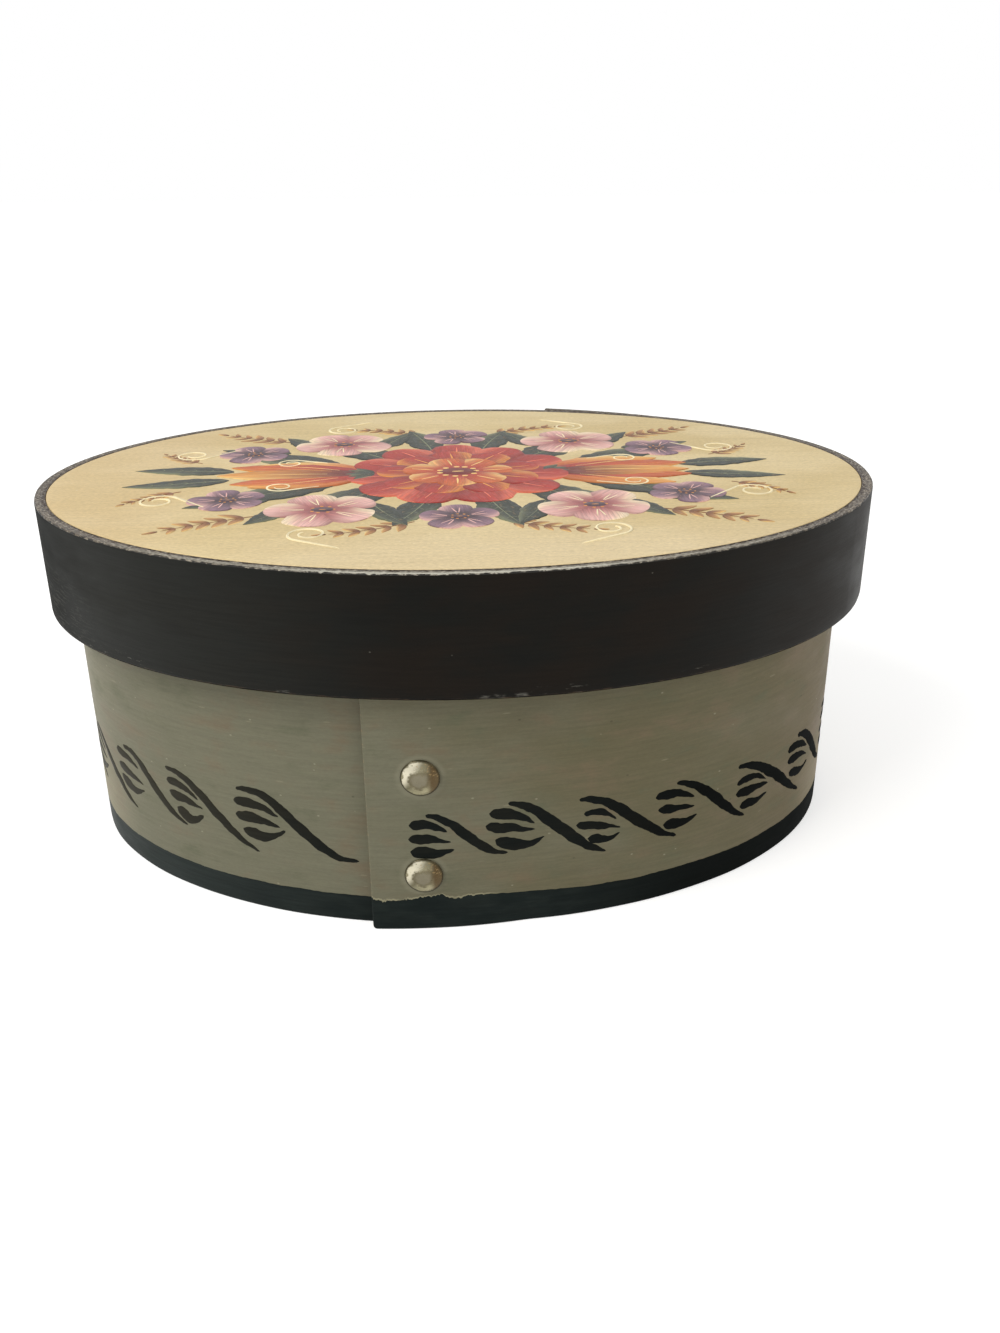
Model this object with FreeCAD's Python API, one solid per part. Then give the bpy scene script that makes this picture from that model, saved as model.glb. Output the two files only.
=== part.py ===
import FreeCAD
import Part
import math
import os
from FreeCAD import Vector

# An oval bentwood box with a lift-off lid. Each band is one thin strip of wood, bent round an oval and
# riveted where its ends lap. The box's lap is in front, the lid's is at the back. An oval board closes
# the bottom of the box, and another one closes the top of the lid.
# Millimetres. X runs along the oval, -Y is the front, Z is up. The origin is the oval's centre, on the base.

# Overall sizes
LID_LENGTH = 305.0
LID_WIDTH = 229.0
TOTAL_HEIGHT = 128.0
LID_BAND_HEIGHT = 40.0
BAND_THICKNESS = 4.0
BOARD_THICKNESS = 6.4
END_GAP = 8.5            # lid's outside to box's outside, at each end of the oval
SIDE_GAP = 10.0          # the same, at the front and the back

# The lap of a band: its outer end lies on its inner end, which is pared down to a thin nose
LAP_LENGTH = 44.0
LAP_NOSE = 0.5           # thickness of the inner end where it stops
LAP_FADE = 10.0          # past the nose, the outer layer comes back to the oval over this length
GLUE_LINE = 0.2          # between the two layers of a lap
BOARD_JOINT = 0.1        # between a board's edge and its band
BOX_SEAM_X = -31.7       # where the box band's outer end stands, in front
LID_SEAM_X = 41.0        # where the lid band's outer end stands, at the back

# Rivets: a domed cap, a shank, and a tail closed over a washer inside
RIVET_INSET = 17.4       # from the lap's outer end
HEAD_RADIUS = 6.35
HEAD_RISE = 2.2
HEAD_RIM = 0.35
SHANK_RADIUS = 1.75
SHANK_CLEARANCE = 0.05
WASHER_RADIUS = 4.5
WASHER_THICKNESS = 0.9
TAIL_RADIUS = 2.7
TAIL_RISE = 1.0
TAIL_RIM = 0.3
BEDDING = 0.8            # a cap or a washer is made this deep into the wood, and cut back to its face
BOX_RIVET_HEIGHTS = {"lower": 21.4, "middle": 57.8, "upper": 94.2}
LID_RIVET_HEIGHTS = {"lower": 97.0, "upper": 114.0}

BOX_BAND_HEIGHT = TOTAL_HEIGHT - BOARD_THICKNESS
LAP_SLOPE = (BAND_THICKNESS - LAP_NOSE) / LAP_LENGTH
FRONT = -1
BACK = 1


class Oval:
    """An ellipse, walked by length along it from the place where its band's outer end stands."""

    STEPS = 1440

    def __init__(self, half_length, half_width, seam_x, side):
        self.half_length = half_length
        self.half_width = half_width
        self.start = side * math.acos(seam_x / half_length)
        # Both laps run towards +X from their outer ends, so the two bands go round opposite ways.
        self.turn = -side
        self.lengths = [0.0]
        for i in range(self.STEPS):
            step = self.at_angle(self.angle_of_step(i + 1)) - self.at_angle(self.angle_of_step(i))
            self.lengths.append(self.lengths[-1] + step.Length)
        self.perimeter = self.lengths[-1]

    def angle_of_step(self, i):
        return self.start + self.turn * 2 * math.pi * i / self.STEPS

    def at_angle(self, angle):
        return Vector(self.half_length * math.cos(angle), self.half_width * math.sin(angle), 0)

    def angle(self, length):
        laps, rest = divmod(length, self.perimeter)
        low, high = 0, self.STEPS
        while high - low > 1:
            middle = (low + high) // 2
            if self.lengths[middle] <= rest:
                low = middle
            else:
                high = middle
        share = (rest - self.lengths[low]) / (self.lengths[high] - self.lengths[low])
        return self.angle_of_step(low + share + laps * self.STEPS)

    def normal(self, length):
        angle = self.angle(length)
        out = Vector(math.cos(angle) / self.half_length, math.sin(angle) / self.half_width, 0)
        return out.normalize()

    def point(self, length, offset, z=0.0):
        return self.at_angle(self.angle(length)) + self.normal(length) * offset + Vector(0, 0, z)


def lap_inside(length):
    """The outer layer's inner face, as an offset from the oval: down the pared end, then back to the band."""
    if length <= LAP_LENGTH:
        return GLUE_LINE - LAP_SLOPE * length
    share = min(1.0, (length - LAP_LENGTH) / LAP_FADE)
    step = GLUE_LINE - LAP_SLOPE * LAP_LENGTH + BAND_THICKNESS
    run_on = -LAP_SLOPE * LAP_FADE
    # A cubic that leaves the lap at its slope and joins the oval along it.
    value = step * (2 * share**3 - 3 * share**2 + 1) + run_on * (share**3 - 2 * share**2 + share)
    return value - BAND_THICKNESS


def lap_outside(length):
    return lap_inside(length) + BAND_THICKNESS


def curve(oval, start, end, offset, points):
    """A smooth edge along the oval, offset by a function of the length."""
    steps = [start + (end - start) * i / (points - 1) for i in range(points)]
    spline = Part.BSplineCurve()
    spline.interpolate([oval.point(s, offset(s)) for s in steps])
    return spline.toShape()


def band(oval, bottom, height):
    """The bent strip with its two ends lapped, before it is drilled."""
    lap_end = LAP_LENGTH + LAP_FADE
    full_turn = oval.perimeter
    strip_end = full_turn + LAP_LENGTH

    def pared(length):
        return -LAP_SLOPE * (length - full_turn)

    edges = [
        curve(oval, 0, LAP_LENGTH, lap_outside, 8),
        curve(oval, LAP_LENGTH, lap_end, lap_outside, 5),
        curve(oval, lap_end, full_turn, lambda s: 0.0, 48),
        curve(oval, full_turn, strip_end, pared, 8),
        Part.makeLine(oval.point(strip_end, pared(strip_end)), oval.point(strip_end, -BAND_THICKNESS)),
        curve(oval, strip_end, lap_end, lambda s: -BAND_THICKNESS, 52),
        curve(oval, lap_end, LAP_LENGTH, lap_inside, 5),
        curve(oval, LAP_LENGTH, 0, lap_inside, 8),
        Part.makeLine(oval.point(0, lap_inside(0)), oval.point(0, lap_outside(0))),
    ]
    outline = Part.Wire(edges)
    outline.translate(Vector(0, 0, bottom))
    return Part.Face(outline).extrude(Vector(0, 0, height))


def board(oval, bottom):
    """An oval board that fills the band, all but the joint round its edge."""
    inset = -(BAND_THICKNESS + BOARD_JOINT)
    count = 48
    spline = Part.BSplineCurve()
    places = [oval.perimeter * i / count for i in range(count)]
    spline.interpolate([oval.point(s, inset, bottom) for s in places], PeriodicFlag=True)
    outline = Part.Wire([spline.toShape()])
    return Part.Face(outline).extrude(Vector(0, 0, BOARD_THICKNESS))


def across(oval, z):
    """The placement of a rivet's axis: its own +Z points out of the band, from the oval itself."""
    out = oval.normal(RIVET_INSET)
    turn = FreeCAD.Rotation(Vector(0, 0, 1), out)
    return FreeCAD.Placement(oval.point(RIVET_INSET, 0.0, z), turn)


def turned(profile):
    """A solid of revolution about Z from a closed list of edges in the XZ plane."""
    face = Part.Face(Part.Wire(profile))
    return face.revolve(Vector(0, 0, 0), Vector(0, 0, 1), 360)


def dome(radius, base, rim, rise):
    """A low dome on a short straight rim, closed underneath."""
    crown = Vector(0, 0, base + rise)
    shoulder = Vector(radius, 0, base + rim)
    # The sphere through the crown and the shoulder, and a point half way along it.
    sphere = (radius**2 + (rise - rim) ** 2) / (2 * (rise - rim))
    half = math.asin(radius / sphere) / 2
    between = Vector(sphere * math.sin(half), 0, crown.z - sphere * (1 - math.cos(half)))
    foot = Vector(radius, 0, base)
    centre = Vector(0, 0, base)
    return turned([
        Part.Arc(crown, between, shoulder).toShape(),
        Part.makeLine(shoulder, foot),
        Part.makeLine(foot, centre),
        Part.makeLine(centre, crown),
    ])


def cylinder(radius, low, high):
    return Part.makeCylinder(radius, high - low, Vector(0, 0, low))


def rivet(oval, z, wood):
    """A cap bedded on the lap, its shank, and its closed tail."""
    face = lap_outside(RIVET_INSET)
    inside = -BAND_THICKNESS
    cap = dome(HEAD_RADIUS, face - BEDDING, HEAD_RIM + BEDDING, HEAD_RISE + BEDDING)
    tail_base = inside - WASHER_THICKNESS
    tail = dome(TAIL_RADIUS, 0.0, TAIL_RIM, TAIL_RISE)
    tail.rotate(Vector(0, 0, 0), Vector(1, 0, 0), 180)
    tail.translate(Vector(0, 0, tail_base))
    shank = cylinder(SHANK_RADIUS, tail_base - TAIL_RIM, face + HEAD_RISE / 2)
    cap.Placement = across(oval, z)
    closed = shank.fuse(tail)
    closed.Placement = across(oval, z)
    return cap.cut(wood).fuse(closed).removeSplitter()


def washer(oval, z, wood):
    """The washer that the tail is closed on, bedded on the band's inner face."""
    inside = -BAND_THICKNESS
    ring = cylinder(WASHER_RADIUS, inside - WASHER_THICKNESS, inside + BEDDING)
    hole = cylinder(SHANK_RADIUS + SHANK_CLEARANCE, inside - 2 * WASHER_THICKNESS, inside + 2 * BEDDING)
    ring = ring.cut(hole)
    ring.Placement = across(oval, z)
    return ring.cut(wood)


def drilled(wood, oval, heights):
    """The band with a hole through both layers of its lap for each rivet."""
    for z in heights:
        hole = cylinder(SHANK_RADIUS + SHANK_CLEARANCE, -3 * BAND_THICKNESS, 3 * BAND_THICKNESS)
        hole.Placement = across(oval, z)
        wood = wood.cut(hole)
    return wood


def banded(name, oval, bottom, height, rivet_heights):
    """A drilled band with its rivets and washers, by node name."""
    wood = band(oval, bottom, height)
    pieces = {name + "_band": drilled(wood, oval, rivet_heights.values())}
    for place, z in rivet_heights.items():
        pieces[f"{name}_rivet_{place}"] = rivet(oval, z, wood)
        pieces[f"{name}_washer_{place}"] = washer(oval, z, wood)
    return pieces


def main():
    box_oval = Oval(LID_LENGTH / 2 - END_GAP, LID_WIDTH / 2 - SIDE_GAP, BOX_SEAM_X, FRONT)
    lid_oval = Oval(LID_LENGTH / 2, LID_WIDTH / 2, LID_SEAM_X, BACK)
    lid_bottom = TOTAL_HEIGHT - LID_BAND_HEIGHT

    pieces = banded("box", box_oval, 0.0, BOX_BAND_HEIGHT, BOX_RIVET_HEIGHTS)
    pieces["bottom_board"] = board(box_oval, 0.0)
    pieces.update(banded("lid", lid_oval, lid_bottom, LID_BAND_HEIGHT, LID_RIVET_HEIGHTS))
    pieces["lid_board"] = board(lid_oval, TOTAL_HEIGHT - BOARD_THICKNESS)

    os.makedirs("parts", exist_ok=True)
    for node, shape in pieces.items():
        assert shape.isValid() and len(shape.Solids) == 1, node
        shape.Solids[0].exportStep(f"parts/{node}.step")
        print(f"{node}: {shape.Volume / 1000:.2f} cm3")


main()
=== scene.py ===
"""An oval bentwood box with a slip-over lid: painted sides, a brush-stroke border, flowers on the lid."""

import math
import random

import bmesh
import bpy
import numpy as np
from mathutils import Matrix, Vector


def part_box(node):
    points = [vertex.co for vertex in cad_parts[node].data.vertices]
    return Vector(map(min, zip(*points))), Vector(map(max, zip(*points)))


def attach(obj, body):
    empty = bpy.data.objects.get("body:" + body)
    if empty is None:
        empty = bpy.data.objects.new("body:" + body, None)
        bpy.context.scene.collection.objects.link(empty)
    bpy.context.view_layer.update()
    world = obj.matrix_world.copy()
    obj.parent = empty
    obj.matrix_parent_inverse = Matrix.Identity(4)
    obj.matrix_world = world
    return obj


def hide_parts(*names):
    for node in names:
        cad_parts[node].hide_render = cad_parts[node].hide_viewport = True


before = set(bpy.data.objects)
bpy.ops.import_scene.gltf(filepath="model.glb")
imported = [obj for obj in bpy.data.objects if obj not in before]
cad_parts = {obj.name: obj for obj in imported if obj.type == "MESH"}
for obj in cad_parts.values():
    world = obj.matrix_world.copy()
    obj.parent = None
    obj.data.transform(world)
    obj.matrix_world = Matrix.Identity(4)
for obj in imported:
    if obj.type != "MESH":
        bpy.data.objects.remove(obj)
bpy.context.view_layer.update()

# Sizes are millimetres until a mesh is made. X runs along the oval, -Y is the front, Z is up.
TO_METRES = 0.001


def corner_of(node):
    """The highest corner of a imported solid, in millimetres."""
    return [c / TO_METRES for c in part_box(node)[1]]


BOARD_THICKNESS = corner_of("bottom_board")[2]
TOTAL_HEIGHT = corner_of("lid_board")[2]
BOX_BAND_HEIGHT = TOTAL_HEIGHT - BOARD_THICKNESS
LID_BAND_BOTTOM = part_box("lid_band")[0].z / TO_METRES

# The bands' section and laps, as in the solids
BAND_THICKNESS = 4.0
BOARD_JOINT = 0.1
LAP_LENGTH = 44.0
LAP_NOSE = 0.5
LAP_FADE = 10.0
GLUE_LINE = 0.2
LAP_SLOPE = (BAND_THICKNESS - LAP_NOSE) / LAP_LENGTH
BOX_SEAM_X = -31.7
LID_SEAM_X = 41.0
RIVET_INSET = 17.4
FRONT = -1
BACK = 1
# The dark stripe round the box's foot
STRIPE_HEIGHT = 10.4

# Seeds of the random draws, one for each use
STRIPE_SEED, TEAR_SEED = 11, 12
BOX_WAVE_SEED, BOX_RISE_SEED = 21, 22
RIM_GRAIN_SEED, LID_WAVE_SEED, RIM_WAVE_SEED = 31, 32, 39
BOARD_LENGTH_SEED, BOARD_WIDTH_SEED = 51, 52
BORDER_SEED = 61
RIVET_SEED = 70
FLOWER_SEED = 81

# The rivets, and how high those of the box's lap stand
RIVET_NODES = [name for name in sorted(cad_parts) if "_rivet_" in name]


def middle_height(node):
    low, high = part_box(node)
    return (low.z + high.z) / 2 / TO_METRES


RIVET_HEIGHTS = [middle_height(node) for node in RIVET_NODES if node.startswith("box")]


# Ovals and bands


class Oval:
    """An ellipse, walked by length along it from the place where its band's outer end stands."""

    STEPS = 7200

    def __init__(self, half_length, half_width, seam_x, side):
        self.half_length = half_length
        self.half_width = half_width
        turns = np.arange(self.STEPS + 1) / self.STEPS
        self.angles = side * math.acos(seam_x / half_length) - side * 2 * math.pi * turns
        x = half_length * np.cos(self.angles)
        y = half_width * np.sin(self.angles)
        self.lengths = np.concatenate([[0.0], np.cumsum(np.hypot(np.diff(x), np.diff(y)))])
        self.perimeter = self.lengths[-1]

    def place(self, length, offset, z):
        """Points at these lengths, this far outside the oval, at these heights."""
        length, offset, z = np.broadcast_arrays(length, offset, z)
        angle = np.interp(length % self.perimeter, self.lengths, self.angles)
        normal = np.stack([np.cos(angle) / self.half_length, np.sin(angle) / self.half_width], -1)
        normal /= np.linalg.norm(normal, axis=-1, keepdims=True)
        x = self.half_length * np.cos(angle) + normal[..., 0] * offset
        y = self.half_width * np.sin(angle) + normal[..., 1] * offset
        return np.stack([x, y, z + np.zeros_like(x)], -1)

    def outward(self, length):
        near, far = self.place(np.array(length), 0.0, 0.0), self.place(np.array(length), 1.0, 0.0)
        return Vector(far - near)


def oval_round(board, seam_x, side):
    """The oval of the band that holds this board."""
    margin = BAND_THICKNESS + BOARD_JOINT
    corner = corner_of(board)
    return Oval(corner[0] + margin, corner[1] + margin, seam_x, side)


BOX_OVAL = oval_round("bottom_board", BOX_SEAM_X, FRONT)
LID_OVAL = oval_round("lid_board", LID_SEAM_X, BACK)


def smooth(share):
    share = np.clip(share, 0.0, 1.0)
    return share * share * (3 - 2 * share)


def lap_inside(length):
    """The outer layer's inner face over its lap, then back to the band."""
    share = np.clip((length - LAP_LENGTH) / LAP_FADE, 0.0, 1.0)
    step = GLUE_LINE - LAP_SLOPE * LAP_LENGTH + BAND_THICKNESS
    run_on = -LAP_SLOPE * LAP_FADE
    fade = step * (2 * share**3 - 3 * share**2 + 1) + run_on * (share**3 - 2 * share**2 + share)
    return np.where(length <= LAP_LENGTH, GLUE_LINE - LAP_SLOPE * length, fade - BAND_THICKNESS)


def face_offsets(oval, length):
    """The outer and the inner face of the strip at these lengths."""
    outer_layer = lap_inside(length)
    pared = -LAP_SLOPE * (length - oval.perimeter)
    outer = np.where(length > oval.perimeter, pared, outer_layer + BAND_THICKNESS)
    inner = np.where(length > LAP_LENGTH + LAP_FADE, -BAND_THICKNESS, outer_layer)
    return outer, inner


def ripple(along, seed, waves):
    """A smooth uneven line: waves is a list of (wavelength, height)."""
    draw = random.Random(seed)
    total = np.zeros_like(along, dtype=float)
    for wavelength, height in waves:
        for spread in (0.83, 1.0, 1.29):
            total += height / 2 * np.sin(2 * math.pi * (along / (wavelength * spread) + draw.random()))
    return total


# The unevenness of bent wood, each wave a wavelength and a height. None shows near a band's two ends,
# which are clamped and riveted.
BOX_WAVES = [(38.0, 0.06), (95.0, 0.1)]
BOX_RISES = [(46.0, 0.05)]
LID_WAVES = [(42.0, 0.06), (110.0, 0.1)]
RIM_WAVES = [(9.0, 0.06), (31.0, 0.06)]
CLAMP_FADE = 30.0
CLAMPED_END = 12.0


def hand_cut(oval, lengths):
    """How much of a band's unevenness shows."""
    return smooth(lengths / CLAMP_FADE) * smooth((oval.perimeter - CLAMPED_END - lengths) / CLAMP_FADE)


def box_waves(lengths, heights):
    """How far the box's outer face stands off its true oval."""
    waves = ripple(lengths, BOX_WAVE_SEED, BOX_WAVES) + ripple(heights, BOX_RISE_SEED, BOX_RISES)
    return waves * hand_cut(BOX_OVAL, lengths)


# Meshes


def new_object(name, data):
    item = bpy.data.objects.new(name, data)
    bpy.context.scene.collection.objects.link(item)
    return item


def make_piece(name, points, faces, materials, face_material=None, attributes=None, sharp=40.0):
    """A smooth-shaded object from points in millimetres. Attributes are vectors on the points, by name."""
    mesh = bpy.data.meshes.new(name)
    mesh.from_pydata((np.asarray(points) * TO_METRES).tolist(), [], faces)
    for material in materials:
        mesh.materials.append(material)
    if face_material is not None:
        mesh.polygons.foreach_set("material_index", np.asarray(face_material, dtype=np.int32))
    for key, values in (attributes or {}).items():
        layer = mesh.attributes.new(key, "FLOAT_VECTOR", "POINT")
        layer.data.foreach_set("vector", np.asarray(values, dtype=np.float32).ravel())
    shell = bmesh.new()
    shell.from_mesh(mesh)
    bmesh.ops.recalc_face_normals(shell, faces=shell.faces)
    shell.to_mesh(mesh)
    shell.free()
    mesh.shade_smooth()
    mesh.set_sharp_from_angle(angle=math.radians(sharp))
    mesh.update()
    return new_object(name, mesh)


def grid_faces(rows, columns, closed=False):
    """Quads of a grid of points numbered row by row. A closed grid joins its last column to its first."""
    faces = []
    for row in range(rows - 1):
        for column in range(columns if closed else columns - 1):
            after = (column + 1) % columns
            faces.append((row * columns + column, row * columns + after,
                          (row + 1) * columns + after, (row + 1) * columns + column))
    return faces


class Section:
    """A band's cross-section as a ring of (depth, height, side): up the outside, in over the top edge, down
    the inside and out under the bottom edge, with rounded corners."""

    OUTSIDE, TOP, INSIDE, BOTTOM = range(4)
    CORNER = [math.radians(a) for a in (22.5, 45, 67.5, 90)]

    def __init__(self, bottom, top, radius, heights, across):
        shares = np.linspace(0, 1, across + 2)[1:-1]
        self.bottom, self.top = bottom, top
        self.points = []
        self.corner(radius, self.OUTSIDE, rising=True)
        self.points += [(0.0, z, self.OUTSIDE) for z in heights]
        self.corner(radius, self.OUTSIDE, rising=False)
        self.points += [(share, top, self.TOP) for share in shares]
        self.corner(radius / 2, self.INSIDE, rising=False)
        self.points += [(0.0, z, self.INSIDE) for z in heights[::-1]]
        self.corner(radius / 2, self.INSIDE, rising=True)
        self.points += [(share, bottom, self.BOTTOM) for share in shares[::-1]]

    def corner(self, radius, side, rising):
        """A quarter round at the foot (rising) or at the top of one side, in the ring's direction."""
        turns = self.CORNER[::-1] if rising == (side == self.OUTSIDE) else self.CORNER
        for turn in turns:
            depth, drop = radius * (1 - math.cos(turn)), radius * (1 - math.sin(turn))
            height = self.bottom + drop if rising else self.top - drop
            self.points.append((depth, height, side))

    def lay(self, outer, inner):
        """Offsets, heights and depths of the ring at every station, from the two faces' offsets there."""
        shape = (len(outer), len(self.points))
        offsets, heights, depths = np.zeros(shape), np.zeros(shape), np.zeros(shape)
        for column, (depth, z, side) in enumerate(self.points):
            if side == self.OUTSIDE:
                offsets[:, column] = outer - depth
            elif side == self.INSIDE:
                offsets[:, column] = inner + depth
                depth = BAND_THICKNESS - depth
            else:
                offsets[:, column] = outer + (inner - outer) * depth
                depth = depth * BAND_THICKNESS
            heights[:, column] = z
            depths[:, column] = depth
        return offsets, heights, depths

    def columns(self, side):
        return np.array([i for i, point in enumerate(self.points) if point[2] == side])

    def column_at(self, height):
        """The outside column at one of the given heights."""
        return next(i for i, point in enumerate(self.points) if point[1] == height)


END_EDGE = 0.65


def stations_of(oval, fine_to, fine_step, step):
    """Lengths at which a band's section is laid: close together at its ends and where fine detail is."""
    ease = [0.0, 0.05, 0.14, 0.28, 0.46, END_EDGE]
    fine = np.arange(1.0, fine_to, fine_step)
    coarse = np.linspace(fine_to, oval.perimeter, int((oval.perimeter - fine_to) / step))
    hidden = np.linspace(oval.perimeter, oval.perimeter + LAP_LENGTH, 24)[1:]
    return np.concatenate([ease, fine, coarse, hidden])


def rounding(distance, radius):
    """How far an edge rounded to this radius draws back, at this distance from the edge."""
    into = np.clip(radius - distance, 0.0, radius)
    return radius - np.sqrt(radius**2 - into**2)


# Materials


def srgb(*screen):
    """A screen colour, 0 to 255, as the linear colour that a shader takes."""
    return tuple(((c / 255 + 0.055) / 1.055) ** 2.4 if c > 10 else c / 255 / 12.92 for c in screen)


class Value:
    """A number that a material has at every point, with the sums that its nodes can do."""

    def __init__(self, paint, socket):
        self.paint = paint
        self.socket = socket

    def __add__(self, other):
        return self.paint.math("ADD", self, other)

    def __mul__(self, other):
        return self.paint.math("MULTIPLY", self, other)

    def __abs__(self):
        return self.paint.math("ABSOLUTE", self)

    def highest(self, other):
        return self.paint.math("MAXIMUM", self, other)

    def ramp(self, low, high, to_low=0.0, to_high=1.0):
        """Maps low..high to to_low..to_high, smoothly and clamped. Low may be over high."""
        node = self.paint.add("MapRange", {"interpolation_type": "SMOOTHSTEP"}, Value=self)
        spans = (low, high, to_low, to_high) if low < high else (high, low, to_high, to_low)
        for key, number in zip(("From Min", "From Max", "To Min", "To Max"), spans):
            node.inputs[key].default_value = number
        return Value(self.paint, node.outputs["Result"])


class Paint:
    """A Principled material, its colour so far, and short ways to add nodes. Places are in millimetres."""

    def __init__(self, name, roughness=0.5, specular=0.5, metallic=0.0):
        self.material = bpy.data.materials.new(name)
        self.material.use_nodes = True
        self.tree = self.material.node_tree
        self.surface = self.tree.nodes["Principled BSDF"]
        shine = {"Roughness": roughness, "Specular IOR Level": specular, "Metallic": metallic}
        for key, value in shine.items():
            self.surface.inputs[key].default_value = value
        self.colour = None

    def link(self, socket, value):
        if isinstance(value, Value):
            value = value.socket
        if isinstance(value, bpy.types.NodeSocket):
            self.tree.links.new(value, socket)
        elif isinstance(value, (tuple, list)) and len(value) == 3 and socket.type == "RGBA":
            socket.default_value = (*value, 1.0)
        else:
            socket.default_value = value

    def add(self, kind, settings=None, **inputs):
        node = self.tree.nodes.new("ShaderNode" + kind)
        for key, value in (settings or {}).items():
            setattr(node, key, value)
        for key, value in inputs.items():
            self.link(node.inputs[key.replace("_", " ")], value)
        return node

    def attribute(self, name):
        return self.add("Attribute", {"attribute_name": name}).outputs["Vector"]

    def parts(self, vector):
        return [Value(self, socket) for socket in self.add("SeparateXYZ", Vector=vector).outputs]

    def vector(self, operation, a, b):
        node = self.add("VectorMath", {"operation": operation})
        self.link(node.inputs[0], a)
        self.link(node.inputs[1], b)
        return node.outputs["Vector"]

    def length(self, vector):
        node = self.add("VectorMath", {"operation": "LENGTH"})
        self.link(node.inputs[0], vector)
        return Value(self, node.outputs["Value"])

    def math(self, operation, a, b=0.0):
        node = self.add("Math", {"operation": operation})
        self.link(node.inputs[0], a)
        self.link(node.inputs[1], b)
        return Value(self, node.outputs[0])

    def noise(self, vector, sizes, detail=3.0, roughness=0.55, distortion=0.0):
        """Noise whose blotches have these sizes in millimetres along the vector's three axes."""
        scale = tuple(1 / size if size else 0.0 for size in sizes)
        node = self.add("TexNoise", Vector=self.vector("MULTIPLY", vector, scale), Scale=1.0, Detail=detail,
                        Roughness=roughness, Distortion=distortion)
        return Value(self, node.outputs["Fac"])

    def mix(self, factor, a, b, blend="MIX"):
        node = self.add("Mix", {"data_type": "RGBA", "blend_type": blend})
        for place, value in ((0, factor), (6, a), (7, b)):
            self.link(node.inputs[place], value)
        return node.outputs[2]

    def base(self, value, low, high, first, second):
        """The first coat: from one screen colour to another as the value goes from low to high."""
        self.colour = self.mix(value.ramp(low, high), srgb(*first), srgb(*second))

    def over(self, mask, colour, amount=None):
        """Lays a screen colour over the paint so far where the mask is 1."""
        if amount is not None:
            mask = mask * amount
        self.colour = self.mix(mask, self.colour, srgb(*colour))

    def tint(self, value, low, high, amount, colour):
        """Lays a screen colour on, up to this amount, as the value goes from low to high."""
        self.over(value.ramp(low, high, 0.0, amount), colour)

    def dim(self, value, low, high, least, most):
        """Multiplies the paint by a grey, from least to most as the value goes from low to high."""
        value = value.ramp(low, high, least, most)
        grey = self.add("CombineColor", Red=value, Green=value, Blue=value).outputs[0]
        self.colour = self.mix(1.0, self.colour, grey, "MULTIPLY")

    def scatter(self, vector, spacing, size, share, colour, amount):
        """Paints spots on a share of the cells of a scatter. Gives back 1 on the spots, 0 elsewhere."""
        scale = tuple(1 / distance for distance in spacing)
        node = self.add("TexVoronoi", Vector=self.vector("MULTIPLY", vector, scale), Scale=1.0)
        chosen = self.math("GREATER_THAN", self.parts(node.outputs["Color"])[0], 1.0 - share)
        spots = Value(self, node.outputs["Distance"]).ramp(size, size * 0.6) * chosen
        self.over(spots, colour, amount)
        return spots

    def finish(self, relief, depth, roughness=None):
        """Links the colour, a bump of this depth in millimetres, and the roughness."""
        self.link(self.surface.inputs["Base Color"], self.colour)
        if roughness is not None:
            self.link(self.surface.inputs["Roughness"], roughness)
        bump = self.add("Bump", Height=relief, Strength=1.0, Distance=depth * TO_METRES)
        self.link(self.surface.inputs["Normal"], bump.outputs[0])
        return self.material


def brushed(paint, along):
    """Long soft marks of the brush and of the grain under the paint, running along the strip."""
    grain = paint.noise(along, (20, 1.2, 3), detail=4.0, roughness=0.62)
    hairs = paint.noise(along, (7, 0.36, 1.5), detail=2.0)
    return grain, hairs


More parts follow.
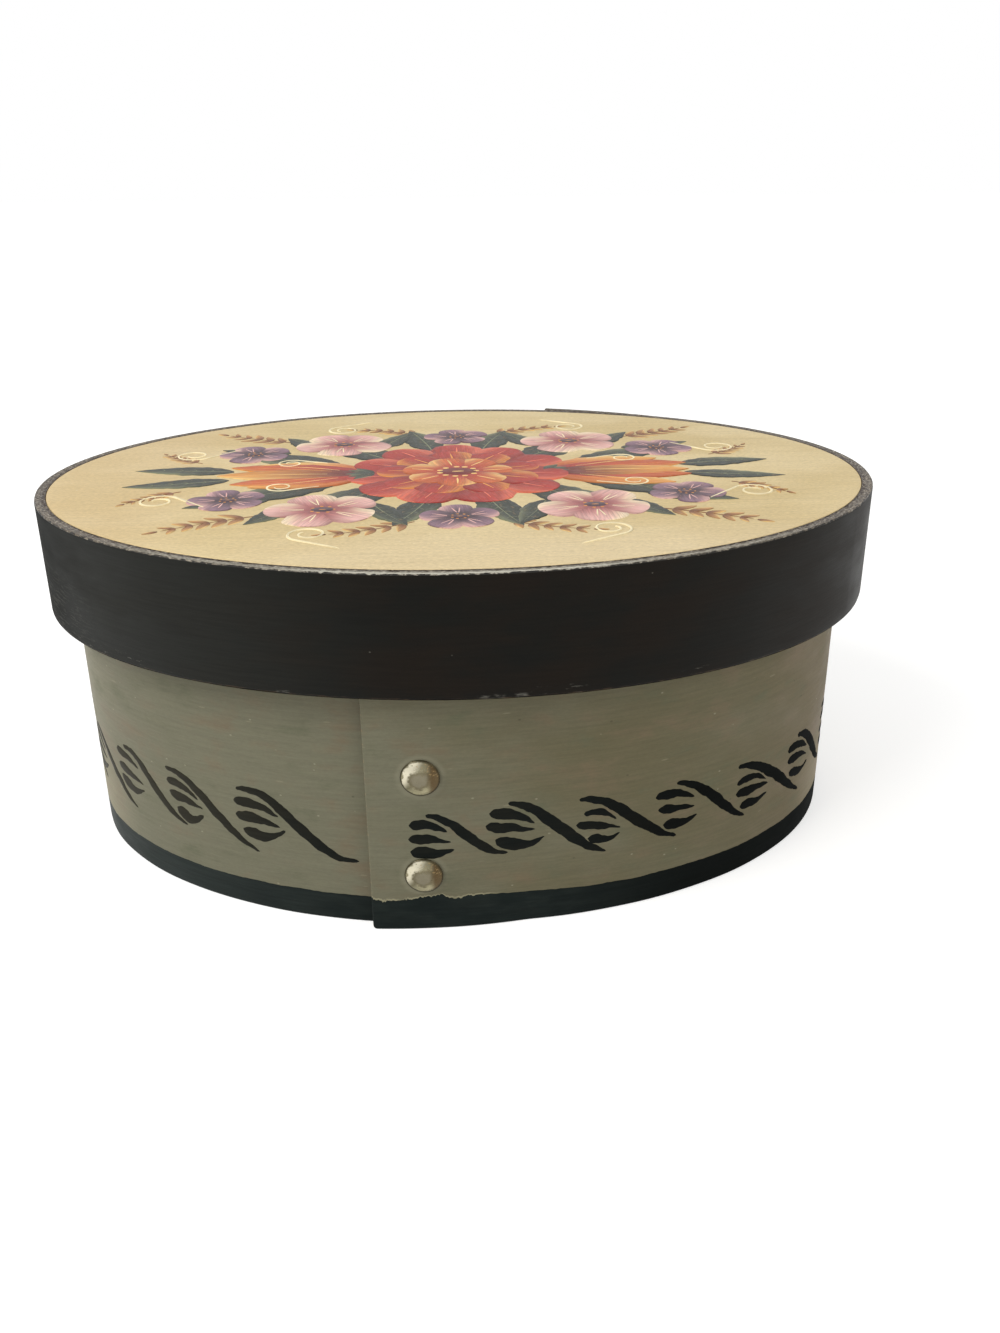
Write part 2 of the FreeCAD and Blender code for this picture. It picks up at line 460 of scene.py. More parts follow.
def green_paint():
    """The box band's paint, with painted light that makes it paler at its left end, and warmer at its right.
    """
    paint = Paint("sage_green_paint", roughness=0.6, specular=0.3)
    along = paint.attribute("strip")
    length, height, _ = paint.parts(along)
    across = paint.parts(paint.attribute("place"))[0]
    grain, hairs = brushed(paint, along)
    clouds = paint.noise(along, (70, 38, 50))
    patches = paint.noise(along, (22, 12, 20), detail=4.0, roughness=0.6)
    speckle = paint.noise(along, (1.6, 0.7, 1), detail=4.0, roughness=0.7)
    rub = paint.noise(along, (6, 1.5, 1.5), detail=4.0, roughness=0.65)
    # Painted light: paler towards the left end, where the light falls, and lighter again at that end as
    # painted sheen. Warmer and browner towards the right end.
    paint.base(across.ramp(-120, 110, 0.62, 0.0) + clouds, 0.45, 1.0, (96, 90, 65), (109, 107, 87))
    paint.tint(across, 85, 140, 0.6, (104, 88, 62))
    paint.tint(across, -112, -143, 0.6, (130, 125, 104))
    # Painted reflection of the pale floor, low down on both ends of the oval.
    paint.over(abs(across).ramp(116, 141) * height.ramp(44, 18, 0.0, 0.45), (158, 148, 118))
    paint.tint(patches, 0.5, 0.74, 0.55, (112, 95, 72))
    paint.tint(patches, 0.46, 0.26, 0.6, (91, 94, 72))
    paint.dim(grain, 0.25, 0.75, 0.92, 1.07)
    paint.dim(hairs, 0.2, 0.8, 0.955, 1.04)
    paint.dim(speckle, 0.3, 0.7, 0.95, 1.05)
    # Flecks, pits and short scratches
    flecks = paint.scatter(along, (4.2, 2.8, 3), 0.13, 0.12, (158, 152, 128), 0.45)
    paint.scatter(along, (6.1, 4.3, 3), 0.1, 0.1, (66, 62, 46), 0.5)
    paint.scatter(along, (9.0, 1.7, 3), 0.2, 0.05, (150, 142, 116), 0.3)
    # On the lap, a pale hairline runs along the stripe's upper edge, and painted reflected light makes a
    # pale halo round each rivet.
    lowest = height.ramp(STRIPE_HEIGHT + 1.3, STRIPE_HEIGHT + 0.8)
    paint.over(lowest * length.ramp(44, 36) * rub.ramp(0.34, 0.5, 0.0, 0.75), (150, 144, 116))
    for middle in RIVET_HEIGHTS:
        away = paint.vector("SUBTRACT", along, (RIVET_INSET, middle, 0.0))
        distance = paint.length(paint.vector("MULTIPLY", away, (1.0, 1.0, 0.0)))
        paint.over(distance.ramp(8.6, 6.8) * patches.ramp(0.3, 0.6, 0.15, 0.5), (136, 132, 110))
    # Paint is rubbed off the strip's corners: at its foot, its top and its outer end.
    top = BOX_BAND_HEIGHT
    corner = height.ramp(0.9, 0.1).highest(height.ramp(top - 0.9, top - 0.1)).highest(length.ramp(0.5, 0.05))
    paint.over(corner * rub.ramp(0.5, 0.62), (150, 128, 92), 0.7)
    return paint.finish(grain + hairs * 0.35 + flecks * 0.5, 0.08, patches.ramp(0.3, 0.7, 0.66, 0.54))


def dark_paint(name, deep, soft, painted_light_at_left):
    """Dark paint, with painted light making it paler towards the left end of the box and painted shade
    making it darker towards the right.
    """
    paint = Paint(name, roughness=0.5, specular=0.055)
    along = paint.attribute("strip")
    across = paint.parts(paint.attribute("place"))[0]
    grain, hairs = brushed(paint, along)
    patches = paint.noise(along, (16, 6, 6))
    paint.base(patches, 0.35, 0.7, deep, soft)
    # Painted light towards the left end, painted shade towards the right end.
    paint.tint(across, -25, -130, 0.8, painted_light_at_left)
    paint.tint(across, 10, 90, 0.85, (8, 10, 9))
    paint.dim(grain, 0.2, 0.8, 0.8, 1.2)
    paint.scatter(along, (11.0, 6.0, 6), 0.05, 0.07, (112, 120, 104), 0.6)
    dull = patches.ramp(0.3, 0.7, 0.46, 0.58) + across.ramp(15, 80, 0.0, 0.36)
    return paint.finish(grain + hairs * 0.4, 0.07, dull)


# Places in front where the lid band's lower edge is rubbed: middle along x, and half its length
SCUFFS = [(8.0, 5.0), (17.0, 2.5), (-55.0, 2.5)]


def black_paint():
    """The lid band's paint, rubbed along its lower edge, with painted sheen towards both ends."""
    paint = Paint("satin_black_paint", roughness=0.6, specular=0.085)
    along = paint.attribute("strip")
    height = paint.parts(along)[1]
    x, y, _ = paint.parts(paint.attribute("place"))
    grain, hairs = brushed(paint, along)
    patches = paint.noise(along, (34, 15, 20))
    rub = paint.noise(along, (5, 1.0, 2), detail=5.0, roughness=0.7)
    where = paint.noise(along, (30, 14, 10), detail=2.0)
    paint.base(patches, 0.35, 0.65, (15, 15, 12), (23, 18, 13))
    # Painted sheen: lighter towards the left and towards the right end, with painted shade darkening the far
    # left end again.
    paint.tint(x, -10, -90, 0.8, (34, 35, 32))
    paint.tint(x, -105, -150, 0.9, (18, 19, 17))
    paint.tint(x, 50, 120, 0.6, (31, 29, 26))
    paint.dim(grain, 0.2, 0.8, 0.84, 1.16)

    def foot(high, low, amount=1.0):
        """Up to this amount from one height above the band's lower edge down to another."""
        return height.ramp(LID_BAND_BOTTOM + high, LID_BAND_BOTTOM + low, 0.0, amount)

    scuff = rub.ramp(0.58, 0.68) * where.ramp(0.57, 0.66)
    in_front = paint.math("LESS_THAN", y, 0.0) * foot(2.0, 0.9)
    for middle, half in SCUFFS:
        near = abs(x + -middle).ramp(half, half * 0.4)
        scuff = scuff.highest(near * rub.ramp(0.46, 0.6) * in_front)
    paint.over(scuff * foot(6, 1), (124, 122, 114), 0.55)
    # Short raised marks low on the left end, on its front side
    marks = paint.noise(along, (6, 0.9, 2), detail=3.0, distortion=0.6).ramp(0.52, 0.62) * x.ramp(-112, -138)
    marks = marks * (y.ramp(4, -22) * foot(28, 12))
    paint.over(marks, (88, 87, 80), 0.2)
    paint.scatter(along, (12.0, 9.0, 6), 0.035, 0.08, (96, 94, 86), 0.5)
    paint.over(foot(0.9, 0.2, 0.45) * rub.ramp(0.5, 0.6), (104, 84, 62))
    dull = patches.ramp(0.3, 0.7, 0.44, 0.56) + x.ramp(-112, -148, 0.0, 0.3)
    return paint.finish(grain + (hairs * 0.5 + marks * 0.7), 0.06, dull)


def rim_wear_and_sheen():
    """The lid band's top edge: open grain, grey-brown and pitted where it meets the board, with painted
    sheen and a painted highlight in front.
    """
    paint = Paint("worn_grey_rim_with_sheen", roughness=0.45, specular=0.25)
    along = paint.attribute("strip")
    depth = paint.parts(along)[2]
    y = paint.parts(paint.attribute("place"))[1]
    coarse = paint.noise(along, (2.4, 1.3, 1.1), detail=5.0, roughness=0.75)
    fine = paint.noise(along, (1.5, 0.8, 0.8), roughness=0.6)
    lengths = paint.noise(along, (55, 0, 0), detail=2.0)
    paint.base(coarse, 0.36, 0.6, (48, 40, 31), (116, 105, 90))
    paint.tint(fine, 0.54, 0.66, 0.8, (188, 178, 158))
    paint.tint(fine, 0.46, 0.36, 0.8, (34, 28, 22))
    paint.over(lengths.ramp(0.35, 0.6, 0.45, 0.0), (74, 66, 58))
    # In front the rim is painted a lighter, even grey as sheen, and a pale painted highlight runs along its
    # outer corner. The paint begins there.
    outer = depth + coarse.ramp(0.3, 0.7, -0.25, 0.25)
    bare = outer.ramp(0.25, 0.45)
    grey = paint.mix(fine.ramp(0.4, 0.6), srgb(118, 112, 98), srgb(166, 160, 144))
    paint.colour = paint.mix(bare * outer.ramp(3.0, 2.2) * y.ramp(-70, -98, 0.0, 0.75), paint.colour, grey)
    paint.over(bare * outer.ramp(1.6, 1.0) * y.ramp(-104, -112, 0.0, 0.8), (208, 205, 190))
    paint.over(outer.ramp(0.3, 0.16), (30, 28, 25))
    inner = depth + lengths.ramp(0.3, 0.7, -0.35, 0.35)
    paint.over(inner.ramp(1.9, 3.1) * coarse.ramp(0.56, 0.46), (40, 27, 19), 0.9)
    paint.over(depth.ramp(2.2, 3.2) * fine.ramp(0.47, 0.4), (52, 36, 25), 0.8)
    paint.over((depth + coarse.ramp(0.3, 0.7, 0.25, -0.25)).ramp(3.5, 3.75), (58, 44, 32))
    return paint.finish(coarse + fine * 0.45, 0.3, fine.ramp(0.4, 0.7, 0.5, 0.28))


def cream_paint():
    """The lid board's paint, greyer in the middle and right of the front as painted sheen, and browner at
    the left.
    """
    paint = Paint("cream_paint", roughness=0.5, specular=0.3)
    place = paint.attribute("place")
    x, y, _ = paint.parts(place)
    grain = paint.noise(place, (46, 1.5, 8), detail=4.0, roughness=0.64)
    hairs = paint.noise(place, (12, 0.38, 2), detail=2.0)
    clouds = paint.noise(place, (60, 40, 10))
    speckle = paint.noise(place, (1.7, 0.6, 1), detail=4.0, roughness=0.7)
    paint.base(clouds, 0.35, 0.65, (205, 182, 130), (217, 195, 144))
    # Painted sheen: lighter and greyer in the middle and right of the front.
    paint.over(y.ramp(-50, -100, 0.0, 0.7) * x.ramp(-90, -20), (219, 199, 158))
    paint.tint(x, -75, -115, 0.5, (205, 178, 130))
    paint.dim(grain, 0.2, 0.8, 0.93, 1.05)
    paint.tint(grain, 0.4, 0.24, 0.4, (170, 144, 99))
    paint.dim(hairs, 0.2, 0.8, 0.96, 1.03)
    paint.dim(speckle, 0.34, 0.66, 0.87, 1.1)
    paint.scatter(place, (3.3, 2.1, 3), 0.14, 0.12, (150, 126, 88), 0.4)
    paint.scatter(place, (4.7, 3.0, 5), 0.11, 0.1, (236, 224, 194), 0.5)
    return paint.finish(grain + hairs * 0.4, 0.08, clouds.ramp(0.3, 0.7, 0.52, 0.42))


def bare_wood(name, attribute):
    """Planed pale wood, its grain along the first axis of the attribute."""
    paint = Paint(name, roughness=0.6, specular=0.25)
    place = paint.attribute(attribute)
    bend = paint.noise(place, (120, 60, 60), detail=2.0)
    moved = paint.vector("ADD", place, paint.add("CombineXYZ", Y=bend * 26.0).outputs[0])
    rings = paint.noise(moved, (190, 5.5, 14), roughness=0.5)
    fibres = paint.noise(moved, (22, 0.5, 1.5), roughness=0.6)
    pores = paint.noise(moved, (7, 0.35, 1), detail=1.0)
    paint.base(rings, 0.38, 0.62, (212, 184, 141), (190, 154, 107))
    paint.dim(fibres, 0.25, 0.75, 0.88, 1.06)
    paint.tint(pores, 0.66, 0.78, 0.4, (124, 88, 54))
    return paint.finish(fibres + rings * 0.6, 0.09)


def artist_paint():
    """The paint of the lid's flowers: each stroke carries its own colour, streaked by the brush."""
    paint = Paint("artist_paint", roughness=0.46, specular=0.3)
    stroke = paint.attribute("stroke")
    streaks = paint.noise(stroke, (10, 0.6, 1), detail=4.0, roughness=0.66)
    dabs = paint.noise(stroke, (3.2, 1.5, 1))
    grain = paint.noise(paint.attribute("place"), (14, 0.7, 4), detail=4.0, roughness=0.7)
    paint.colour = paint.add("Attribute", {"attribute_name": "hue"}).outputs["Color"]
    paint.dim(streaks, 0.25, 0.75, 0.7, 1.28)
    paint.tint(dabs, 0.56, 0.76, 0.2, (226, 190, 150))
    paint.tint(grain, 0.64, 0.74, 0.5, (214, 194, 152))
    return paint.finish(streaks + grain * 0.5, 0.1, dabs.ramp(0.3, 0.7, 0.4, 0.52))


def nickel_tarnish_and_glints():
    """A rivet's plating: khaki, duller on its crown, with painted glints on its shoulder at the upper left
    and below, painted brown shade at its right side and a dark painted shadow at its foot.
    """
    paint = Paint("nickel_tarnish_and_glints", roughness=0.3, metallic=1.0)
    face = paint.attribute("face")
    across, up, _ = paint.parts(face)
    radius = paint.length(paint.vector("MULTIPLY", face, (1.0, 1.0, 0.0)))
    film = paint.noise(face, (3.4, 2.6, 3), detail=5.0, roughness=0.62)
    fine = paint.noise(face, (0.7, 0.5, 0.7))
    uneven = radius + film.ramp(0.3, 0.7, -0.8, 0.8)
    paint.base(film, 0.35, 0.65, (103, 98, 76), (137, 131, 106))
    paint.tint(uneven, 4.3, 3.0, 0.6, (92, 84, 66))
    paint.tint(uneven, 3.2, 1.6, 0.65, (128, 122, 105))
    # Painted glints: a pale highlight on the shoulder at the upper left, and a painted reflection of the
    # floor on the shoulder below.
    shoulder = uneven.ramp(2.8, 3.9) * uneven.ramp(5.9, 5.2)
    lit = (across * -0.7 + up * 0.7).ramp(1.2, 4.2)
    paint.over(shoulder * (lit * 0.9), (212, 205, 182))
    paint.over(shoulder * up.ramp(-2.2, -4.6, 0.0, 0.65), (170, 163, 132))
    # Painted brown shade on the right side, away from the light; then brassy spots of tarnish towards the
    # upper right.
    paint.tint(across + (up * -0.2 + film), 2.3, 4.6, 0.85, (78, 60, 38))
    paint.over((across + up).ramp(3.2, 5.2) * fine.ramp(0.55, 0.68), (178, 150, 104), 0.6)
    paint.tint(fine, 0.6, 0.74, 0.5, (84, 76, 56))
    # A dark painted shadow line round the foot, where the cap meets the paint.
    paint.tint(radius, 5.65, 6.1, 0.85, (56, 52, 38))
    return paint.finish(film + fine * 0.4, 0.12, film.ramp(0.3, 0.7, 0.38, 0.24))


def plain_steel():
    paint = Paint("plain_steel", roughness=0.36, metallic=1.0)
    place = paint.add("TexCoord").outputs["Object"]
    film = paint.noise(paint.vector("MULTIPLY", place, (1 / TO_METRES,) * 3), (2.4, 2.4, 2.4), detail=4.0)
    paint.base(film, 0.35, 0.65, (150, 148, 142), (188, 186, 180))
    return paint.finish(film, 0.04, film.ramp(0.3, 0.7, 0.44, 0.3))


GREEN = green_paint()
DARK = dark_paint("dark_green_black_paint", (21, 28, 27), (32, 38, 36), (46, 52, 50))
STROKES = dark_paint("dark_stroke_paint", (14, 18, 16), (24, 25, 21), (54, 51, 41))
BLACK = black_paint()
RIM = rim_wear_and_sheen()
CREAM = cream_paint()
BAND_WOOD = bare_wood("bare_band_wood", "strip")
BOARD_WOOD = bare_wood("bare_board_wood", "place")
ARTIST = artist_paint()
NICKEL = nickel_tarnish_and_glints()
STEEL = plain_steel()


# The two bands


def lay_band(name, oval, section, stations, materials, chosen, shape):
    """A band's mesh: its section at each station, and a cap on each end. Chosen gives the material of each
    of the ring's faces, and shape moves the offsets and heights before the points are placed."""
    outer, inner = face_offsets(oval, stations)
    draw_in = rounding(stations, END_EDGE)
    offsets, heights, depths = section.lay(outer - draw_in, inner + draw_in * 0.4)
    strip = np.stack([np.broadcast_to(stations[:, None], offsets.shape), heights, depths], -1)
    shape(offsets, heights)
    points = oval.place(stations[:, None], offsets, heights).reshape(-1, 3)
    rows, columns = offsets.shape
    faces = grid_faces(rows, columns, closed=True)
    start = tuple(range(columns))[::-1]
    end = tuple((rows - 1) * columns + i for i in range(columns))
    face_material = chosen * (rows - 1) + [0, 0]
    return make_piece(name, points, faces + [start, end], materials, face_material,
                      {"strip": strip.reshape(-1, 3), "place": points})


# The dark stripe's upper edge, by length along the band, in front where it is uneven
STRIPE_EDGE = [(0.0, 12.6), (1.2, 12.4), (1.8, 11.9), (3.6, 11.6), (6.0, 11.5), (9.2, 11.9), (12.6, 12.1),
               (16.6, 12.8), (19.5, 13.4), (22.6, 13.6), (23.6, 13.2), (24.6, 12.2), (28.0, 11.9),
               (30.4, 12.5), (36.0, 12.5), (50.0, 11.6), (90.0, 10.7), (150.0, STRIPE_HEIGHT)]
STRIPE_WOBBLE = [(4.0, 0.08), (17.0, 0.1), (60.0, 0.12)]
STRIPE_TEAR = 0.27
TEAR_REACH = 40.0


def stripe_top(stations):
    lengths, heights = zip(*STRIPE_EDGE)
    edge = np.interp(stations, lengths, heights) + ripple(stations, STRIPE_SEED, STRIPE_WOBBLE)
    tear = np.random.default_rng(TEAR_SEED).normal(0.0, STRIPE_TEAR, len(stations))
    return edge + tear * smooth((TEAR_REACH - stations) / 8.0)


# The outer end's lower corner is rounded off: its radius, and how far up the band is lifted with it
LAP_CORNER = 1.5
LAP_CORNER_REACH = 8.6


def build_box_band():
    rows = [0.9, 3.0, 6.0, LAP_CORNER_REACH, STRIPE_HEIGHT, 14.6]
    rows += [*np.arange(18.0, BOX_BAND_HEIGHT - 2.0, 6.0), BOX_BAND_HEIGHT - 0.9]
    section = Section(0.0, BOX_BAND_HEIGHT, radius=0.7, heights=rows, across=4)
    stations = stations_of(BOX_OVAL, fine_to=52.0, fine_step=0.45, step=1.5)
    outside, inside = section.columns(section.OUTSIDE), section.columns(section.INSIDE)
    stripe = section.column_at(STRIPE_HEIGHT)

    def shape(offsets, heights):
        heights[:, stripe] = stripe_top(stations)
        lift = rounding(stations, LAP_CORNER)[:, None]
        heights += lift * np.clip(1 - heights / LAP_CORNER_REACH, 0.0, 1.0)
        offsets[:, outside] += box_waves(stations[:, None], heights[:, outside])
        offsets[:, inside] += box_waves(stations, stations * 0)[:, None]

    chosen = []
    for i, (_, _, side) in enumerate(section.points):
        foot = i > len(section.points) - 3
        if side == section.OUTSIDE or foot:
            chosen.append(1 if foot or i < stripe else 0)
        else:
            chosen.append(2)
    band = lay_band("box_band_wood", BOX_OVAL, section, stations, [GREEN, DARK, BAND_WOOD], chosen, shape)
    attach(band, "box")
    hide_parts("box_band")


RIM_ROUGHNESS = 0.055
RIM_WEAR = 0.02
RIM_WITHOUT_PITS = 0.8
PIT_DEPTH = 0.3


def build_lid_band():
    rows = list(np.linspace(LID_BAND_BOTTOM + 0.9, TOTAL_HEIGHT - 0.9, 12))
    section = Section(LID_BAND_BOTTOM, TOTAL_HEIGHT, radius=0.8, heights=rows, across=10)
    stations = stations_of(LID_OVAL, fine_to=52.0, fine_step=0.8, step=0.8)
    outside, rim = section.columns(section.OUTSIDE), section.columns(section.TOP)
    grain = np.random.default_rng(RIM_GRAIN_SEED)

    def shape(offsets, heights):
        waves = np.abs(ripple(stations, LID_WAVE_SEED, LID_WAVES)) * hand_cut(LID_OVAL, stations)
        offsets[:, outside] -= waves[:, None]
        # The rim's open grain: low and uneven along it, with torn pits on the side of the board.
        size = (len(stations), len(rim))
        inward = np.arange(len(rim))
        shared = ripple(stations, RIM_WAVE_SEED, RIM_WAVES)
        rough = np.abs(grain.normal(0.0, RIM_ROUGHNESS, size) + shared[:, None])
        rough *= 0.3 + 0.7 * smooth((inward - 1) / 4)
        pits = smooth((grain.random(size) - RIM_WITHOUT_PITS) / 0.15) * smooth((inward - 4) / 4) * PIT_DEPTH
        heights[:, rim] -= rough + pits + RIM_WEAR

    chosen = []
    for i, (_, z, side) in enumerate(section.points):
        if side == section.TOP or z > TOTAL_HEIGHT - 0.5:
            chosen.append(1)
        else:
            chosen.append(0 if side == section.OUTSIDE or i > len(section.points) - 4 else 2)
    band = lay_band("lid_band_wood", LID_OVAL, section, stations, [BLACK, RIM, BAND_WOOD], chosen, shape)
    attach(band, "lid")
    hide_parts("lid_band")


# The two boards


BOARD_COLUMNS = 360
BOARD_RINGS = 34
BOARD_EASE = 0.35
BOARD_CORNER = [math.radians(a) for a in (0, 30, 60, 90)]
# Wavelengths of the boards' unevenness, along and across
BOARD_LENGTH_WAVE, BOARD_WIDTH_WAVE = 70.0, 45.0


def build_board(node, body, oval, bottom, face_paint, sag):
    """An oval board with eased edges. Its top dips by sag in long soft waves, as planed wood does."""
    inset = BAND_THICKNESS + BOARD_JOINT
    top = bottom + BOARD_THICKNESS
    lengths = np.linspace(0, oval.perimeter, BOARD_COLUMNS + 1)[:-1]
    flat = oval.place(lengths, -inset - BOARD_EASE, 0.0)
    rings = [flat * [share, share, 1] + [0, 0, bottom] for share in (0.02, 0.35, 0.7)]
    for height, up, corner in ((bottom, 1, BOARD_CORNER), (top, -1, BOARD_CORNER[::-1])):
        for turn in corner:
            drawn_in = BOARD_EASE * (1 - math.sin(turn))
            raised = up * BOARD_EASE * (1 - math.cos(turn))
            rings.append(oval.place(lengths, -inset - drawn_in, height + raised))
    first_painted = len(rings) - len(BOARD_CORNER)
    for share in np.linspace(0.985, 0.02, BOARD_RINGS):
        ring = flat * [share, share, 1] + [0, 0, top]
        waves = ripple(ring[:, 0], BOARD_LENGTH_SEED, [(BOARD_LENGTH_WAVE, sag)])
        waves += ripple(ring[:, 1], BOARD_WIDTH_SEED, [(BOARD_WIDTH_WAVE, sag)])
        ring[:, 2] -= np.abs(waves) * smooth((1 - share) * 8)
        rings.append(ring)
    count = len(lengths)
    points = np.concatenate(rings)
    faces = grid_faces(len(rings), count, closed=True)
    painted = [1 if ring < first_painted else 0 for ring in range(len(rings) - 1) for _ in range(count)]
    under = tuple(range(count))[::-1]
    over = tuple(len(points) - count + i for i in range(count))
    board = make_piece(node + "_wood", points, faces + [under, over], [face_paint, BOARD_WOOD],
                       painted + [1, 0], {"place": points})
    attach(board, body)
    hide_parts(node)


# Rivets


def revolve(profile, count):
    """Points and faces of a turned solid about Z. The profile runs from the axis round to the axis."""
    points = [(0.0, 0.0, profile[0][1])]
    for radius, z in profile[1:-1]:
        for i in range(count):
            turn = 2 * math.pi * i / count
            points.append((radius * math.cos(turn), radius * math.sin(turn), z))
    points.append((0.0, 0.0, profile[-1][1]))
    rings = len(profile) - 2
    faces = [(0, 1 + i, 1 + (i + 1) % count) for i in range(count)]
    for ring in range(rings - 1):
        low, high = 1 + ring * count, 1 + (ring + 1) * count
        for i in range(count):
            after = (i + 1) % count
            faces.append((low + i, high + i, high + after, low + after))
    last, tip = 1 + (rings - 1) * count, len(points) - 1
    faces += [(last + i, tip, last + (i + 1) % count) for i in range(count)]
    return np.array(points), faces


HEAD_RADIUS = 6.35
HEAD_RISE = 2.2
HEAD_RIM = 0.55
SHANK_RADIUS = 1.75
TAIL_RADIUS = 2.7
TAIL_RISE = 1.0
TAIL_RIM = 0.3
WASHER_THICKNESS = 0.9
BEDDING = 0.1
DENTS = 7


def rivet_profile(face):
    """From the crown out over the rolled rim, under the cap, down the shank and round the closed tail."""
    dome = []
    for share in np.linspace(0, 1, 17):
        drop = (HEAD_RISE - HEAD_RIM) * share**2.3
        dome.append((share * (HEAD_RADIUS - 0.12), face + HEAD_RISE - drop))
    rolled = [(HEAD_RADIUS, face + HEAD_RIM - 0.17), (HEAD_RADIUS - 0.02, face + 0.12),
              (HEAD_RADIUS - 0.3, face - BEDDING)]
    tail_base = -BAND_THICKNESS - WASHER_THICKNESS
    shank = [(SHANK_RADIUS, face - BEDDING), (SHANK_RADIUS, tail_base), (TAIL_RADIUS, tail_base - 0.02)]
    tail = []
    for turn in np.linspace(0, math.pi / 2, 6)[:-1]:
        drop = TAIL_RIM + (TAIL_RISE - TAIL_RIM) * math.sin(turn)
        tail.append((TAIL_RADIUS * math.cos(turn), tail_base - drop))
    return dome + rolled + shank + tail + [(0.0, tail_base - TAIL_RISE)]


def build_rivet(node, body, oval, z, seed):
    outer, _ = face_offsets(oval, np.array([RIVET_INSET]))
    face = float(outer[0])
    points, faces = revolve(rivet_profile(face), 72)
    draw = random.Random(seed)
    # Dents of the setting tool, only on the cap
    for _ in range(DENTS):
        reach = draw.uniform(1.2, 2.8)
        spot = np.array([draw.uniform(-5, 5), draw.uniform(-5, 5)])
        near = np.exp(-((points[:, :2] - spot) ** 2).sum(1) / reach**2)
        on_cap = smooth((points[:, 2] - face - 0.3) / 0.5)
        points[:, 2] -= near * on_cap * draw.uniform(0.02, 0.1)
    out = oval.outward(RIVET_INSET)
    turn = Matrix((Vector((0, 0, 1)).cross(out), (0, 0, 1), out)).transposed()
    placed = points @ np.array(turn).T + oval.place(np.array(RIVET_INSET), 0.0, z)
    # Each cap was struck at its own angle, so its tarnish lies another way.
    lie = draw.uniform(-0.3, 0.3)
    turned = np.array([[math.cos(lie), math.sin(lie), 0], [-math.sin(lie), math.cos(lie), 0], [0, 0, 1]])
    cap = (points - [0, 0, face]) @ turned
    piece = make_piece(node + "_metal", placed, faces, [NICKEL], attributes={"face": cap})
    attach(piece, body)
    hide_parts(node)


def build_rivets():
    for number, node in enumerate(RIVET_NODES):
        body = node.split("_")[0]
        oval = BOX_OVAL if body == "box" else LID_OVAL
        build_rivet(node, body, oval, middle_height(node), RIVET_SEED + number)
    for name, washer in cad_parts.items():
        if "_washer_" in name:
            washer.data.materials.clear()
            washer.data.materials.append(STEEL)


# Films of paint, each a brush stroke or a petal


def spline(points, count):
    """A smooth curve through the points, as an array."""
    points = np.array(points, dtype=float)
    ends = np.vstack([2 * points[0] - points[1], points, 2 * points[-1] - points[-2]])
    t = np.linspace(0, len(points) - 1, count)
    span = np.minimum(t.astype(int), len(points) - 2)
    u = (t - span)[:, None]
    a, b, c, d = (ends[span + i] for i in range(4))
    return 0.5 * (2 * b + (c - a) * u + (2 * a - 5 * b + 4 * c - d) * u**2 + (3 * b - a - 3 * c + d) * u**3)


def run_of(line):
    """The length walked along a line at each of its points."""
    return np.concatenate([[0], np.cumsum(np.linalg.norm(np.diff(line, axis=0), axis=1))])


def ribbon(line, left, right, across):
    """A grid of points round a line. Left and right are its half widths, across the columns' places."""
    steps = np.gradient(line, axis=0)
    steps /= np.linalg.norm(steps, axis=1, keepdims=True)
    side = np.stack([-steps[:, 1], steps[:, 0]], 1)
    reach = np.where(across[None, :] > 0, left[:, None], right[:, None]) * across[None, :]
    return line[:, None, :] + side[:, None, :] * reach[..., None]


class Films:
    """Closed films of paint gathered into one mesh, on a surface that lift() gives."""

    def __init__(self, lift):
        self.lift = lift
        self.points, self.faces, self.attributes = [], [], {}
        self.count = 0

    def add(self, flat, raised, **attributes):
        """Flat is a grid (rows, columns, 2) on the surface, and raised is the film's height there. The first
        and the last column lie under the surface, and the film is closed between them."""
        rows, columns = raised.shape
        start = self.count
        self.points.append(self.lift(flat[..., 0], flat[..., 1], raised).reshape(-1, 3))
        self.count += rows * columns
        self.faces += [tuple(start + i for i in face[::-1]) for face in grid_faces(rows, columns)]
        for row in range(rows - 1):
            here, after = start + row * columns, start + (row + 1) * columns
            self.faces.append((here, here + columns - 1, after + columns - 1, after))
        first = tuple(range(start, start + columns))
        last = tuple(range(start + (rows - 1) * columns, start + rows * columns))
        self.faces += [first, last[::-1]]
        for key, values in attributes.items():
            self.attributes.setdefault(key, []).append(values.reshape(-1, 3))

    def make(self, name, material):
        attributes = {key: np.concatenate(values) for key, values in self.attributes.items()}
        points = np.concatenate(self.points)
        return make_piece(name, points, self.faces, [material], attributes=attributes, sharp=60.0)


# The border of brush strokes round the box

# One unit: a long S and three drops. The S is given in shares of its run and fall, and each drop in
# millimetres from its head. Each has its widths.
S_PATH = [(0, 0), (0.1, -0.035), (0.2, -0.1), (0.3, -0.2), (0.42, -0.36), (0.56, -0.56), (0.7, -0.745),
          (0.84, -0.9), (1, -1)]
S_WIDTHS = [1.5, 2.1, 2.7, 3.2, 3.7, 3.8, 3.4, 2.3, 0.8]
DROPS = [
    ([(0, 0), (3.6, 0), (7.4, -0.7), (11.0, -2.2), (14.5, -4.4)], [2.5, 3.7, 3.3, 2.2, 0.6]),
    ([(0, 0), (3.6, -0.5), (7.5, -0.9), (11.3, -1.7), (15.3, -2.8)], [2.2, 3.8, 3.3, 2.0, 0.5]),
    ([(0, 0), (3.2, -1.1), (6.6, -2.1), (10.0, -2.0), (14.0, -0.2)], [2.3, 4.2, 3.9, 2.4, 0.7]),
]
# Each drop's head from the S's start, then its length and width beside the plain drop's, and how far its
# tail and its middle lie above the plain drop's
PLAIN_PLACES = [(-5.8, -3.7, 1, 1, 0, 0), (-5.8, -8.8, 1, 1, 0, 0), (-4.4, -13.8, 1, 1, 0, 0)]
